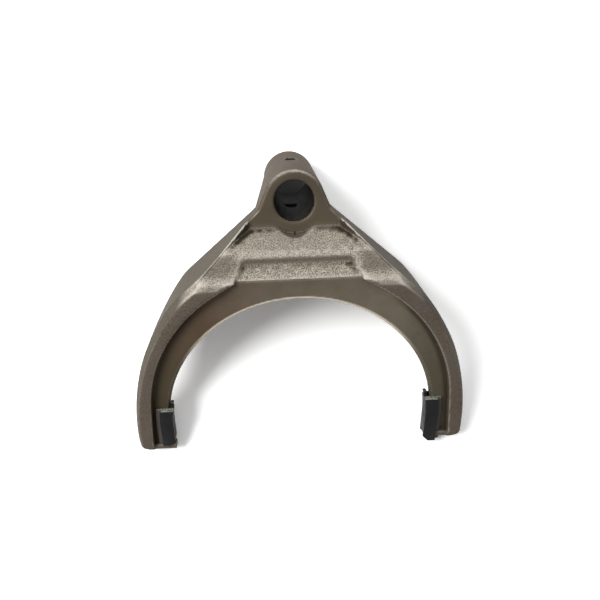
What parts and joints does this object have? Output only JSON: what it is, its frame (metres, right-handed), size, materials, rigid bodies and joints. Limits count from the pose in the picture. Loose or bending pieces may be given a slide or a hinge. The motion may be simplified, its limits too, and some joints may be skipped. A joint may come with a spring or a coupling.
{
  "type": "shift fork",
  "caption": "Gearbox shift fork: a hub with a rail bore and a pin hole, sloping shoulders, a curved yoke with raised rims, and plastic slipper pads clipped on its tips.",
  "frame": {"origin": "on the rail bore's axis, midway along the hub", "axes": "+Y along the rail bore towards the hub's rear, +Z from the sleeve's axis up to the rail, +X to the right when the front is seen"},
  "size_m": [0.1816, 0.089, 0.1445],
  "materials": {
    "cast_steel": "blasted casting with machined faces",
    "black_polyamide": "moulded satin"
  },
  "bodies": {
    "root": {"fork_casting": "cast_steel", "left_slipper_pad": "black_polyamide", "right_slipper_pad": "black_polyamide"}
  },
  "joints": []
}
